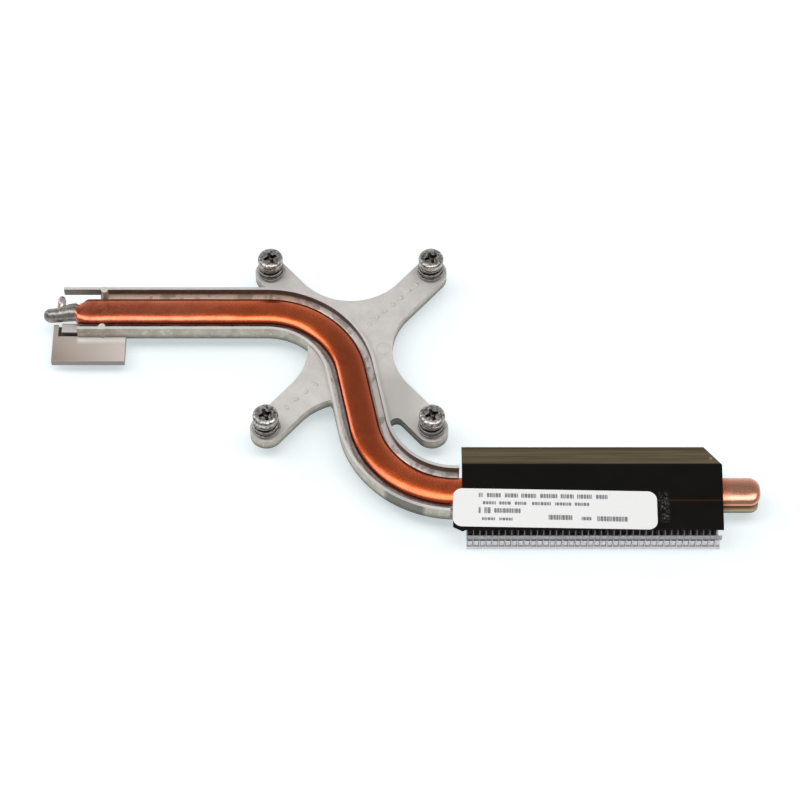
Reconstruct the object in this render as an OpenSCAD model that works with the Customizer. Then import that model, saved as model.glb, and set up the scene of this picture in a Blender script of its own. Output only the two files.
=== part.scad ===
// Laptop processor heatsink: a cast carrier on four sprung screws, one flattened heat
// pipe lying in its channel, and a stack of thin fins under a black film.
// Millimetres, +Z up. The origin is the centre of the face that meets the processor,
// +X runs along the pipe towards the fins and +Y away from the fins' open front.

/* [Heat pipe] */
// Width of the flattened pipe
pipe_w = 7.7; // [6.5:0.1:8.5]
// Thickness of the flattened pipe
pipe_t = 3; // [2.4:0.1:3.4]
// Distance of the left run behind the processor centre
run_back = 11.5; // [9:0.5:14]
// Distance between the left run and the right run
run_step = 52.9; // [50:0.5:58]
// Radius of the first bend
bend_1_r = 22; // [19:0.5:25]
// Radius of the second bend
bend_2_r = 23.2; // [20:0.5:26]
// Turn of each bend, in degrees
bend_turn = 78.5; // [74:0.5:84]
// Distance from the processor centre back to the start of the first bend
bend_lead = 21.3; // [19:0.5:24]
// Length of the straight left run
left_run = 48.5; // [40:0.5:60]
// Length that sticks out past the fins
pipe_out = 10; // [5:0.2:14]
// Radius of the closed right end, seen from above
end_r = 2.8; // [1.5:0.1:3]
// Length of the drawn-down sealed tip
tip_len = 8.6; // [6:0.2:10]
// Diameter where the sealed tip leaves the flat pipe
tip_root_d = 4.5; // [3.6:0.1:5]
// Diameter at the nose of the sealed tip
tip_nose_d = 3.7; // [2.4:0.1:3.9]

/* [Carrier] */
// Height of the carrier's underside above the processor
carrier_lift = 4.2; // [3.2:0.1:5]
// Thickness of the channel floor
floor_t = 1; // [0.8:0.1:1.4]
// Gap between the pipe and each channel wall, at the top
channel_gap = 1.8; // [1:0.1:2.4]
// Thickness of the channel walls
wall_t = 0.75; // [0.6:0.05:1.2]
// Height of the channel walls above the pipe
wall_proud = 0.5; // [0.2:0.1:1]
// Width of the tongue that runs on under the fins
tongue_w = 9; // [8.6:0.1:10]
// Length of the tongue past the fins
tongue_out = 9.6; // [3:0.2:9.8]
// Radius of the tongue's corners
tongue_r = 2.2; // [1:0.1:4]
// Length of the rear rail past the open part of the floor
rail_len = 9.2; // [6:0.2:10]
// Height of the rear rail
rail_h = 2.5; // [1.5:0.1:3]

/* [Arms] */
// Screw spacing along the pipe
screw_dx = 41.1; // [38:0.1:44]
// Screw spacing across the pipe
screw_dy = 47; // [44:0.1:50]
// Thickness of the arms
arm_t = 3.2; // [2.6:0.1:3.6]
// Width of the arms
arm_w = 8.2; // [7.8:0.1:9]
// Radius of the rounds between the arms at the front and rear
round_long = 16; // [12:0.5:17]
// Radius of the rounds between the arms at the sides
round_side = 16; // [10:0.5:18]
// Radius of the round between the front left arm and the channel
round_inner = 2.3; // [1.5:0.1:5]
// Radius of the round between the front right arm and the channel
round_slot = 1.7; // [1:0.1:3]

/* [Side plate] */
// Length of the side plate
plate_l = 18.6; // [15:0.2:22]
// Reach of the side plate in front of the channel
plate_reach = 7.2; // [5:0.1:9]
// Thickness of the side plate
plate_t = 1.9; // [1.4:0.1:2.4]
// Distance of the side plate's top below the top of the channel walls
plate_drop = 4; // [3.8:0.1:4.4]
// Width of the groove between the side plate and the channel
groove_w = 0.9; // [0.5:0.1:1.2]

/* [Contact block] */
// Width of the face that meets the processor
block_w = 16; // [13:0.5:16.5]
// Length of the face that meets the processor
block_l = 20; // [18:0.5:22]
// Length of the neck that passes through the channel floor
neck_l = 17; // [12:0.5:17]
// Width of the neck
neck_w = 7.4; // [6:0.1:8]
// Width of the cast frame around the block
frame_w = 2.2; // [1.5:0.1:2.3]
// Depth of the cast frame below the carrier
frame_h = 2.2; // [1:0.1:2.6]
// Bevel on the block's lower edges
block_bevel = 0.5; // [0.2:0.1:1]

/* [Fins] */
// Number of fins
fin_count = 40; // [30:1:41]
// Distance from one fin to the next
fin_pitch = 1.55; // [1.3:0.01:1.8]
// Thickness of a fin
fin_t = 0.2; // [0.15:0.01:0.3]
// Distance from the processor centre to the first fin
fin_start = 28.8; // [28:0.1:32]
// Depth of the fins from front to rear
fin_depth = 24.9; // [22:0.1:28]
// Distance of the fins' front edge in front of the pipe's middle
fin_front = 12.3; // [11:0.1:14]
// Height of the fins below the carrier
fin_drop = 4.2; // [3:0.1:5]
// Bevel along the top of the fins' front edge
front_bevel = 1.6; // [1:0.1:2]
// Depth of the slope at the rear of the fins
slope_depth = 5.5; // [4:0.1:7]
// Fall of the slope at the rear of the fins
slope_fall = 1.4; // [0.8:0.1:2]
// Height of the tabs that join the fins at the front, under the bevel
fin_tab_h = 1.8; // [1:0.1:2.5]
// Height of the tabs that join the fins at the front, at the bottom
foot_tab_h = 1.2; // [0.4:0.1:1.5]

/* [Film and label] */
// Thickness of the film
film_t = 0.2; // [0.1:0.05:0.3]
// Overhang of the film past the first and last fins
film_over = 1; // [0.5:0.1:1.4]
// Reach of the film over the bevel at the fins' front
film_lip = 0.8; // [0.2:0.1:1]
// Size of the film's cut rear corner, along the fins
corner_x = 4.1; // [2:0.1:6]
// Size of the film's cut rear corner, across the fins
corner_y = 5.9; // [3:0.1:8]
// Reach of the film's tab over the pipe
tab_reach = 2.3; // [1:0.1:2.4]
// Length of the label
label_l = 49.7; // [40:0.1:52]
// Width of the label
label_w = 10.6; // [9:0.1:10.8]
// Turn of the label on the film, in degrees
label_turn = -1.1; // [-1.5:0.1:0]
// Radius of the label's corners
label_r = 2.3; // [1:0.1:3]
// Thickness of the label
label_t = 0.1; // [0.1:0.05:0.2]

/* [Screws] */
// Diameter of the screw heads
head_d = 6.4; // [5.8:0.1:6.8]
// Height of the screw heads
head_h = 1.9; // [1.5:0.1:2.4]
// Diameter of the screws' smooth shoulder
shoulder_d = 3.4; // [3:0.1:3.6]
// Diameter of the threaded end
thread_d = 2.5; // [2:0.1:2.6]
// Height of the threaded ends above the processor face
thread_lift = 0.5; // [0.2:0.1:1]
// Room between the shoulder and its hole, on each side
hole_gap = 0.25; // [0.1:0.05:0.3]
// Size of the cross recess
cross_w = 0.9; // [0.7:0.1:1.1]
// Depth of the cross recess
cross_deep = 1.2; // [0.8:0.1:1.3]
// Outer diameter of the springs where they stand on the arms
spring_d = 7.2; // [6.4:0.1:7.6]
// Outer diameter of the springs under the screw heads
spring_top_d = 6; // [5.4:0.1:6.4]
// Diameter of the spring wire
wire_d = 0.6; // [0.45:0.05:0.65]
// Length of the springs with the screws up
spring_len = 4.7; // [4.2:0.1:5.6]
// Turns of the springs
spring_turns = 3.5; // [3:0.5:3.5]
// Outer diameter of the retaining clips
clip_d = 6; // [5.4:0.1:6.6]
// Thickness of the retaining clips
clip_t = 0.6; // [0.5:0.05:0.8]
// Running room of the clips, on every side
clip_gap = 0.05; // [0.03:0.01:0.08]

/* [Hidden] */
$fn = 48;
SCREW_SPOTS = [[-1, 1], [1, 1], [-1, -1], [1, -1]];
FIN_NODES = [for (i = [1 : fin_count]) str("fin_", i < 10 ? "0" : "", i)];
FASTENER_NODES = [
    for (kind = ["screw", "spring", "clip"])
    for (i = [1 : 4])
    str(kind, "_", i)
];

// Heights
floor_z = carrier_lift + floor_t;
pipe_z = floor_z + pipe_t / 2;
pipe_top = floor_z + pipe_t;
wall_top = pipe_top + wall_proud;
arm_top = carrier_lift + arm_t;
plate_top = wall_top - plate_drop;
fin_low = carrier_lift - fin_drop;
film_top = pipe_top + film_t;

// Route of the pipe, seen from above
leg = (run_step - (bend_1_r + bend_2_r) * (1 - cos(bend_turn))) / sin(bend_turn);
bend_1_at = [-bend_lead, run_back];
leg_at = bend_1_at + bend_1_r * [sin(bend_turn), cos(bend_turn) - 1];
bend_2_at = leg_at + leg * [cos(bend_turn), -sin(bend_turn)];
run_2_at = bend_2_at + bend_2_r * [sin(bend_turn), cos(bend_turn) - 1];
run_front = run_2_at[1];
arc_1 = bend_1_r * bend_turn * PI / 180;
arc_2 = bend_2_r * bend_turn * PI / 180;
route_len = arc_1 + leg + arc_2;
BEND_STEPS = 24;

// Small overlap that lets a round cross the edges it blends, instead of only touching them
bite = 0.02;

pipe_left_x = -bend_lead - left_run;

// Fins, film and label
fin_gap = 0.05;
film_skew = 0.7;
fin_end = fin_start + fin_count * fin_pitch;
fin_front_y = run_front - fin_front;
fin_rear_y = fin_front_y + fin_depth;
slope_y = fin_rear_y - slope_depth;
bevel_y = fin_front_y + front_bevel;
film_front_y = bevel_y - film_lip;
pipe_right_x = fin_end + pipe_out;
label_x = fin_start - film_over - tab_reach;
label_middle = [
    label_x + label_l / 2,
    film_front_y + label_w / 2 + label_l / 2 * sin(abs(label_turn)),
];

// Sealed tip: its root stands a little in front of the pipe's middle, and its nose droops
tip_root_at = -left_run - 0.4;
tip_root_h = tip_root_d - 0.4;
tip_z = floor_z + tip_root_d / 2 - 0.6;
tip_q = -0.3;
nose_z = tip_z - 0.4;
nose_q = tip_q - 0.6;

// Shoulder between the sealed tip and the flat pipe: it narrows at the rear only
shoulder_at = -left_run + 0.3;
shoulder_w = pipe_w - 2.2;
shoulder_h = pipe_t + 0.5;
shoulder_q = (shoulder_w - pipe_w) / 2 + bite;
flat_at = -left_run + 2.8;

// Closed right end: how much it thins out towards its rim
END_THIN = 0.35;

// Channel
channel_half = pipe_w / 2 + channel_gap;
channel_out = channel_half + wall_t;
front_wall_end = label_x - 0.3;
rear_wall_end = fin_start - film_over - 0.6;
floor_left_x = pipe_left_x + 0.3;
gap_end_x = floor_left_x + 5.2;
lug_x = gap_end_x + 1.2;
lug_r = 0.9;
cradle_l = 4.2;
cradle_w = 2.6;
tip_gap = 0.3;
plate_strip = 1.3;
plate_root = 1;

// Fasteners
head_z = arm_top + spring_len;
hole_r = shoulder_d / 2 + hole_gap;
groove_r = thread_d / 2 + 0.05;
clip_z = carrier_lift - clip_gap - clip_t;
collar_h = 0.5;
thread_tip = 0.4;
head_edge = 0.2;
dome_h = 0.7;
dome_run = 0.9;
dome_bulge = 0.3;
CROSS_SHARE = 0.58;
CROSS_TURN = 20;
MOUTH_SHARE = 0.8;
PIPE_SIDES = 24;
WIRE_SIDES = 8;
WIRE_STEPS = 16;
dead_turns = 0.75;
closed_pitch = 1.04 * wire_d;

// Where the route's middle line is after a distance along it, and its heading there.
// Distance 0 is the start of the first bend.
function route(d) =
    d < 0 ? [bend_1_at + [d, 0], 0]
    : d < arc_1 ? let (a = bend_turn * d / arc_1)
        [bend_1_at + bend_1_r * [sin(a), cos(a) - 1], -a]
    : d < arc_1 + leg ? [leg_at + (d - arc_1) * [cos(bend_turn), -sin(bend_turn)], -bend_turn]
    : d < route_len ? let (a = bend_turn * (route_len - d) / arc_2)
        [run_2_at + bend_2_r * [-sin(a), 1 - cos(a)], -a]
    : [run_2_at + [d - route_len, 0], 0];

// Distances along the route of a point on the left run and of one on the right run
function left_d(x) = x - bend_1_at[0];
function right_d(x) = route_len + x - run_2_at[0];

// Distances from one point of the route to another, close together in the bends
function stops(from_d, to_d) = concat(
    [from_d],
    [
        for (start = [0, arc_1 + leg], i = [0 : BEND_STEPS])
        let (d = start + (start == 0 ? arc_1 : arc_2) * i / BEND_STEPS)
        if (d > from_d + 0.1 && d < to_d - 0.1) d
    ],
    [to_d]
);

// The points of a section, placed across the route. In a section, x is the distance
// to the left of the route and y is the height.
function across(d, section) = [for (p = section) let (xy = beside(d, p[0])) [xy[0], xy[1], p[1]]];

// The point beside the route at a distance to its left
function beside(d, q) = let (spot = route(d)) spot[0] + q * [-sin(spot[1]), cos(spot[1])];

// A strip of even height along the route, between a distance to its left and one to its
// right, seen from above
module strip(from_d, to_d, left, right, low, high) {
    way = stops(from_d, to_d);
    last = len(way) - 1;
    translate([0, 0, low]) linear_extrude(high - low) polygon(concat(
        [for (i = [0 : last]) beside(way[i], left)],
        [for (i = [last : -1 : 0]) beside(way[i], -right)]
    ));
}

// Closed surface through rings of points
module skin(rings) {
    count = len(rings);
    sides = len(rings[0]);
    points = [for (ring = rings) each ring];
    walls = [
        for (i = [0 : count - 2], k = [0 : sides - 1])
        let (a = i * sides, next = (k + 1) % sides)
        [a + k, a + next, a + sides + next, a + sides + k]
    ];
    start = [for (k = [sides - 1 : -1 : 0]) k];
    finish = [for (k = [0 : sides - 1]) (count - 1) * sides + k];
    polyhedron(points, concat([start], walls, [finish]), convexity = 4);
}

// Extrudes a section straight along X
module run_along_x(from_x, to_x, y) {
    translate([from_x, y, 0])
        rotate([90, 0, 90])
        linear_extrude(to_x - from_x)
        children();
}

// A flat plate with round corners, its middle at the origin and its base on z
module round_plate(x, y, z, h, r) {
    translate([-x / 2 + r, -y / 2, z]) cube([x - 2 * r, y, h]);
    translate([-x / 2, -y / 2 + r, z]) cube([x, y - 2 * r, h]);
    for (sx = [-1, 1], sy = [-1, 1])
        translate([sx * (x / 2 - r), sy * (y / 2 - r), z]) cylinder(r = r, h = h);
}

module at_screw(i) {
    spot = SCREW_SPOTS[i - 1];
    translate([spot[0] * screw_dx / 2, spot[1] * screw_dy / 2, 0]) children();
}

// Web between two straight edges that leave a corner at angles a and b, with a round
// of radius r cut out of it
module blend_web(corner, a, b, r) {
    half = (b - a) / 2;
    mid = (a + b) / 2;
    reach = r / tan(half);
    middle = corner + r / sin(half) * [cos(mid), sin(mid)];
    difference() {
        polygon([
            corner - 2 * [cos(mid), sin(mid)],
            corner + reach * [cos(a), sin(a)] - 2 * [-sin(a), cos(a)],
            corner + reach * [cos(a), sin(a)],
            middle,
            corner + reach * [cos(b), sin(b)],
            corner + reach * [cos(b), sin(b)] + 2 * [-sin(b), cos(b)],
        ]);
        translate(middle) circle(r = r + bite, $fn = 96);
    }
}

// Outline of the four arms and the hub between them
module arms_outline() {
    lean = atan2(screw_dy, screw_dx);
    reach = norm([screw_dx, screw_dy]) / 2;
    for (spot = SCREW_SPOTS)
        rotate(spot[1] * (spot[0] > 0 ? lean : 180 - lean)) {
            translate([0, -arm_w / 2]) square([reach, arm_w]);
            translate([reach, 0]) circle(d = arm_w);
        }
    for (side = [0, 180]) {
        blend_web([0, (side == 0 ? 1 : -1) * arm_w / 2 / cos(lean)], side + lean,
            side + 180 - lean, round_long);
        blend_web([(side == 0 ? 1 : -1) * arm_w / 2 / sin(lean), 0], side - lean,
            side + lean, round_side);
    }
}

// Where the line through a along u meets the line through b along v
function crossing(a, u, b, v) = a + u * turned(b - a, v) / turned(u, v);
function turned(u, v) = u[0] * v[1] - u[1] * v[0];

// Webs in the corners between the two front arms and the channel's straight leg
module leg_webs() {
    lean = atan2(screw_dy, screw_dx);
    leg_dir = [cos(bend_turn), -sin(bend_turn)];
    leg_side = channel_out * [sin(bend_turn), cos(bend_turn)];
    left_corner = crossing(
        arm_w / 2 * [sin(lean), -cos(lean)], [-cos(lean), -sin(lean)],
        leg_at - leg_side, leg_dir
    );
    right_corner = crossing(
        arm_w / 2 * [-sin(lean), -cos(lean)], [cos(lean), -sin(lean)],
        leg_at + leg_side, leg_dir
    );
    blend_web(left_corner, 180 + lean, 360 - bend_turn, round_inner);
    blend_web(right_corner, 360 - bend_turn, 360 - lean, round_slot);
}

module carrier() {
    color("lightgray") difference() {
        union() {
            channel_floor();
            channel_walls();
            arms();
            cradle();
            side_plate();
            round_plate(block_w + 2 * frame_w, block_l + 2 * frame_w,
                carrier_lift - frame_h, frame_h + floor_t / 2, frame_w);
        }
        contact_pocket();
        for (i = [1 : 4]) at_screw(i) screw_hole();
    }
}

// The channel's floor, and the plain tongue that carries the pipe on under the fins.
// At the left end the floor's rear half is open.
module channel_floor() {
    tongue_end = fin_end + tongue_out - tongue_r;
    corner_q = tongue_w / 2 - tongue_r;
    strip(left_d(gap_end_x), right_d(rear_wall_end), channel_out, channel_out,
        carrier_lift, floor_z);
    strip(left_d(floor_left_x), 0, pipe_w / 2, channel_out, carrier_lift, floor_z);
    strip(route_len - bend_lead, right_d(tongue_end), tongue_w / 2, tongue_w / 2,
        carrier_lift, floor_z);
    strip(right_d(fin_end), right_d(tongue_end + tongue_r), corner_q, corner_q,
        carrier_lift, floor_z);
    for (side = [-1, 1])
        translate([tongue_end, run_front + side * corner_q, carrier_lift])
            cylinder(r = tongue_r, h = floor_t);
}

// The rear wall ends on the left in a free rail over the open floor. The front wall stops
// short of the label, which lies over the pipe there. Two lugs inside hold the pipe.
module channel_walls() {
    strip(left_d(gap_end_x), right_d(rear_wall_end), channel_out, -channel_half,
        carrier_lift, wall_top);
    strip(left_d(gap_end_x - rail_len), 0, channel_out, -channel_half,
        wall_top - rail_h, wall_top);
    strip(left_d(floor_left_x), right_d(front_wall_end), -channel_half, channel_out,
        carrier_lift, wall_top);
    for (side = [-1, 1])
        translate([lug_x, run_back + side * channel_half, carrier_lift])
            cylinder(r = lug_r, h = wall_top - carrier_lift);
}

// The four arms, with the channel's room taken out of them
module arms() {
    difference() {
        translate([0, 0, carrier_lift]) linear_extrude(arm_t) {
            arms_outline();
            leg_webs();
        }
        strip(-bend_lead, route_len + bend_lead, channel_half + wall_t / 2,
            channel_half + wall_t / 2, carrier_lift - 1, wall_top);
    }
}

// Bed of the sealed tip, past the end of the floor
module cradle() {
    inner = tip_root_d / 2 + tip_gap;
    strip(left_d(floor_left_x - cradle_l), 0, -inner, inner + cradle_w, carrier_lift, floor_z);
}

module side_plate() {
    left = floor_left_x - cradle_l - groove_w - plate_strip;
    front = run_back - channel_out - plate_reach;
    cradle_front = run_back - tip_root_d / 2 - tip_gap - cradle_w;
    low = plate_top - plate_t;
    translate([left, front, low]) cube([plate_l, plate_reach, plate_t]);
    translate([left, front, low]) cube([floor_left_x - left, cradle_front - groove_w - front, plate_t]);
    translate([left, front, low]) cube([plate_strip, cradle_front + cradle_w - front, plate_t]);
    translate([floor_left_x, run_back - channel_out - plate_root, low])
        cube([plate_l - floor_left_x + left, 3 * plate_root, carrier_lift + floor_t / 2 - low]);
}

// Room for the contact block in the cast frame and in the channel floor
module contact_pocket() {
    translate([-block_w / 2, -block_l / 2, -1]) cube([block_w, block_l, carrier_lift + 1]);
    block_neck(floor_z + 1);
}

// Neck along the pipe's straight leg, from inside the block up to a height
module block_neck(top) {
    neck_mid = leg_at + leg_room() * [cos(bend_turn), -sin(bend_turn)];
    low = carrier_lift - floor_t / 2;
    translate([neck_mid[0], neck_mid[1], low])
        rotate([0, 0, -bend_turn])
        translate([-neck_l / 2, -neck_w / 2, 0])
        cube([neck_l, neck_w, top - low]);
}

// How far along the straight leg the pipe passes nearest to the processor centre
function leg_room() = -leg_at * [cos(bend_turn), -sin(bend_turn)];

module screw_hole() {
    translate([0, 0, carrier_lift - 1]) cylinder(r = hole_r, h = arm_t + 2);
}

// Section of the flattened pipe, or of its round tip: width w, height h, its middle at
// height z and moved to the left by q
function pipe_section(w, h, z, q = 0) = [
    for (k = [0 : PIPE_SIDES - 1])
    let (
        angle = 360 * (k + 0.5) / PIPE_SIDES,
        flat = (cos(angle) > 0 ? 1 : -1) * (w - h) / 2
    )
    [q + flat + h / 2 * cos(angle), z + h / 2 * sin(angle) / cos(180 / PIPE_SIDES)]
];

// The left end is drawn down to a round sealed nose
function tip_rings() = [
    for (i = [0 : 5])
    let (a = 15 * i + 6, d = tip_nose_d * sin(a))
    across(-left_run - tip_len + tip_nose_d / 2 * (1 - cos(a)), pipe_section(d, d, nose_z, nose_q))
];

// The right end is closed and rounded
function end_rings() = [
    for (i = [0 : 6])
    let (a = 90 - 14 * i, shrink = end_r * (1 - sin(a)))
    across(
        right_d(pipe_right_x) - end_r * (1 - cos(a)),
        pipe_section(pipe_w - 2 * shrink, pipe_t * (1 - END_THIN * pow(1 - sin(a), 2)), pipe_z)
    )
];

module heat_pipe() {
    flat = pipe_section(pipe_w, pipe_t, pipe_z);
    color("chocolate") skin(concat(
        tip_rings(),
        [
            across(tip_root_at, pipe_section(tip_root_d, tip_root_h, tip_z, tip_q)),
            across(shoulder_at,
                pipe_section(shoulder_w, shoulder_h, floor_z + shoulder_h / 2, shoulder_q)),
        ],
        [for (d = stops(flat_at, right_d(fin_end))) across(d, flat)],
        end_rings()
    ));
}

module contact_block() {
    low_w = block_w - 2 * block_bevel;
    low_l = block_l - 2 * block_bevel;
    color("peru") {
        hull() {
            translate([-low_w / 2, -low_l / 2, 0]) cube([low_w, low_l, carrier_lift]);
            translate([-block_w / 2, -block_l / 2, block_bevel])
                cube([block_w, block_l, carrier_lift - block_bevel]);
        }
        block_neck(floor_z);
    }
}

// Rear edge of a fin. The last fins stop short, under the film's cut corner.
function fin_rear(i) =
    let (past = fin_start + i * fin_pitch - (fin_end + film_over - corner_x))
    max(slope_y + fin_t, fin_rear_y - max(0, past) * corner_y / corner_x);

// One fin: an upright sheet, notched over the pipe and the tongue, with its edges folded
// over to the next fin at the top, at the bottom and in two tabs at the front
module fin(i) {
    x = fin_start + (i - 1) * fin_pitch;
    rear = fin_rear(i);
    rear_z = pipe_top - slope_fall * (rear - slope_y) / slope_depth;
    slot = pipe_w / 2 + fin_gap;
    tongue_slot = tongue_w / 2 + fin_gap;
    color("silver") {
        run_along_x(x, x + fin_t, 0) difference() {
            polygon([
                [fin_front_y, fin_low], [rear, fin_low],
                [rear, rear_z], [slope_y, pipe_top],
                [bevel_y, pipe_top], [fin_front_y, pipe_top - front_bevel],
            ]);
            translate([run_front - slot, floor_z]) square([2 * slot, pipe_t + 1]);
            translate([run_front - tongue_slot, carrier_lift]) square([2 * tongue_slot, floor_t]);
        }
        run_along_x(x, x + fin_pitch, 0) {
            translate([fin_front_y, fin_low]) square([rear - fin_front_y, fin_t]);
            translate([fin_front_y, fin_low]) square([fin_t, foot_tab_h]);
            translate([fin_front_y, pipe_top - front_bevel - fin_tab_h]) square([fin_t, fin_tab_h]);
            translate([bevel_y, pipe_top - fin_t]) square([run_front - slot - bevel_y, fin_t]);
            polygon([
                [run_front + slot, pipe_top], [run_front + slot, pipe_top - fin_t],
                [slope_y, pipe_top - fin_t], [rear, rear_z - fin_t],
                [rear, rear_z], [slope_y, pipe_top],
            ]);
        }
    }
}

// Film over the fins: its section follows their top, its outline is cut from a flat sheet
module top_film() {
    left = fin_start - film_over;
    right = fin_end + film_over;
    tab_left = left - tab_reach;
    color([0.08, 0.08, 0.07]) intersection() {
        run_along_x(tab_left, right, 0) polygon([
            [film_front_y - 1, pipe_top], [slope_y, pipe_top],
            [fin_rear_y, pipe_top - slope_fall],
            [fin_rear_y, pipe_top - slope_fall + film_t],
            [slope_y, film_top], [film_front_y - 1, film_top],
        ]);
        linear_extrude(2 * film_top) polygon([
            [left, fin_rear_y], [right - corner_x, fin_rear_y],
            [right, fin_rear_y - corner_y], [right - film_skew, film_front_y],
            [left + film_lip, film_front_y], [left, film_front_y - film_lip / 2],
            [tab_left, film_front_y + film_lip], [tab_left, run_front - pipe_w / 2],
            [left, run_front - pipe_w / 2],
        ]);
    }
}

module label() {
    color("white")
        translate([label_middle[0], label_middle[1], 0])
        rotate([0, 0, label_turn])
        round_plate(label_l, label_w, film_top, label_t, label_r);
}

// Screw with a domed head, a cross recess, a smooth shoulder and a groove for its clip
module screw() {
    top = head_z + head_h;
    r = head_d / 2;
    color("gray") difference() {
        rotate_extrude() polygon([
            [0, thread_lift], [thread_d / 2 - thread_tip, thread_lift],
            [thread_d / 2, thread_lift + thread_tip],
            [thread_d / 2, clip_z - clip_gap - collar_h],
            [shoulder_d / 2, clip_z - clip_gap - collar_h],
            [shoulder_d / 2, clip_z - clip_gap], [groove_r, clip_z - clip_gap],
            [groove_r, clip_z + clip_t + clip_gap],
            [shoulder_d / 2, clip_z + clip_t + clip_gap],
            [shoulder_d / 2, head_z], [r - head_edge, head_z], [r, head_z + head_edge],
            [r, top - dome_h], [r - dome_bulge, top - dome_bulge],
            [r - dome_run, top], [0, top],
        ]);
        for (turn = [0, 90]) rotate([0, 0, turn + CROSS_TURN]) cross_slot(top);
    }
}

// One of the two tapered slots of the cross recess
module cross_slot(top) {
    long = CROSS_SHARE * head_d;
    rotate([90, 0, 0])
        translate([0, 0, -cross_w / 2])
        linear_extrude(cross_w)
        polygon([
            [-long / 2, top + 0.1], [long / 2, top + 0.1],
            [cross_w / 2, top - cross_deep], [-cross_w / 2, top - cross_deep],
        ]);
}

// Height of the spring's wire after a number of turns: closed turns lie at each end
function wire_z(turn) =
    let (
        dead = dead_turns * closed_pitch,
        open = spring_len - wire_d - 2 * dead,
        live = spring_turns - 2 * dead_turns
    )
    turn < dead_turns ? turn * closed_pitch
    : turn > spring_turns - dead_turns
        ? spring_len - wire_d - (spring_turns - turn) * closed_pitch
    : dead + open * (turn - dead_turns) / live;

// Tapered spring, wide where it stands on the arm
module spring() {
    steps = round(spring_turns * WIRE_STEPS);
    color("dimgray") skin([
        for (i = [0 : steps])
        let (
            turn = i * spring_turns / steps,
            low = arm_top + wire_d / 2 + wire_z(turn),
            coil_d = spring_d + (spring_top_d - spring_d) * i / steps
        )
        [
            for (k = [0 : WIRE_SIDES - 1])
            let (
                angle = 360 * k / WIRE_SIDES,
                r = (coil_d - wire_d) / 2 + wire_d / 2 * cos(angle)
            )
            [r * cos(360 * turn), r * sin(360 * turn), low + wire_d / 2 * sin(angle)]
        ]
    ]);
}

// Open ring that snaps into the screw's groove under the arm
module clip() {
    bore_r = groove_r + clip_gap;
    color("darkgray") translate([0, 0, clip_z]) difference() {
        cylinder(d = clip_d, h = clip_t);
        translate([0, 0, -1]) cylinder(r = bore_r, h = clip_t + 2);
        translate([0, -MOUTH_SHARE * bore_r, -1]) cube([clip_d, 2 * MOUTH_SHARE * bore_r, clip_t + 2]);
    }
}

carrier();
heat_pipe();
contact_block();
top_film();
label();
for (i = [1 : 4]) at_screw(i) screw();
for (i = [1 : 4]) at_screw(i) spring();
for (i = [1 : 4]) at_screw(i) clip();
for (i = [1 : fin_count]) fin(i);
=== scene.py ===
import math

import bmesh
import bpy
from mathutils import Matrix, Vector, noise


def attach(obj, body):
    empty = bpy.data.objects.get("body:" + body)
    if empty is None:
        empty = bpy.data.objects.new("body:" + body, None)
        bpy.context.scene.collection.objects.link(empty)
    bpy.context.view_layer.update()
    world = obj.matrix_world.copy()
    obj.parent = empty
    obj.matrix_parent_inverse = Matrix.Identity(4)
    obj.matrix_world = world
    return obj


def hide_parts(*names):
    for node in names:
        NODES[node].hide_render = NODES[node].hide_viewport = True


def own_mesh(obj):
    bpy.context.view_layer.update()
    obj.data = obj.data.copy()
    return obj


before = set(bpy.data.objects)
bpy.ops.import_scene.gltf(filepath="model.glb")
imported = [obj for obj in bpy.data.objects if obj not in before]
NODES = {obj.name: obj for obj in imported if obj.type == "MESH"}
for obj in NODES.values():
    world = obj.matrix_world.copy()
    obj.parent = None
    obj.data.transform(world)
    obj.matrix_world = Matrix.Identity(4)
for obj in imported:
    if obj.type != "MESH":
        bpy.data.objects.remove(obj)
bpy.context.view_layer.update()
MM = 0.001
HOME = "heatsink"  # the body that carries all but the screws and clips

CAMERA_AIM = (12.63, -15.33, 7.4)  # millimetres
CAMERA_TILT = math.radians(58.2)  # above the table
CAMERA_AWAY = 0.65  # metres
LENS, SENSOR = 117, 36

SOFT_WHITE = (1, 0.99, 0.98)
# how bright the room is by how high one looks, 0 level to 1 straight up
FRONT_SKY = [(0, 0.6), (0.3, 0.4), (0.8, 0.3), (1, 0.2)]
BACK_SKY = [(0, 0.95), (0.3, 0.9), (0.5, 0.62), (0.68, 0.42), (0.8, 0.28), (0.9, 0.16), (1, 0.2)]
SKY_TURN = (-0.35, 0.25)  # where the front sky ends and the back sky begins, along Y

# sizes shared by shapes and materials, in millimetres
SCREW_X, SCREW_Y = 20.55, 23.5
FIN_START, FIN_PITCH, FIN_T, FINS = 28.8, 1.55, 0.2, 40

# sockets of a Mix node that mixes colours
MIX_SHARE, MIX_A, MIX_B, MIX_OUT = 0, 6, 7, 2


# ---------------------------------------------------------------- camera, light and floor

def add_camera():
    lens = bpy.data.cameras.new("camera")
    lens.sensor_width = SENSOR
    lens.lens = LENS
    cam = bpy.data.objects.new("camera", lens)
    back = Vector((0, -math.cos(CAMERA_TILT), math.sin(CAMERA_TILT)))
    cam.location = Vector(CAMERA_AIM) * MM + back * CAMERA_AWAY
    cam.rotation_mode = "QUATERNION"
    cam.rotation_quaternion = (-back).to_track_quat("-Z", "Y")
    bpy.context.collection.objects.link(cam)
    bpy.context.scene.camera = cam


def add_light(name, at, aim, size, watts):
    data = bpy.data.lights.new(name, "AREA")
    data.shape = "RECTANGLE"
    data.size, data.size_y = size
    data.energy = watts
    data.color = SOFT_WHITE
    lamp = bpy.data.objects.new(name, data)
    lamp.location = at
    lamp.rotation_mode = "QUATERNION"
    lamp.rotation_quaternion = (Vector(aim) - Vector(at)).to_track_quat("-Z", "Y")
    bpy.context.collection.objects.link(lamp)


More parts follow.
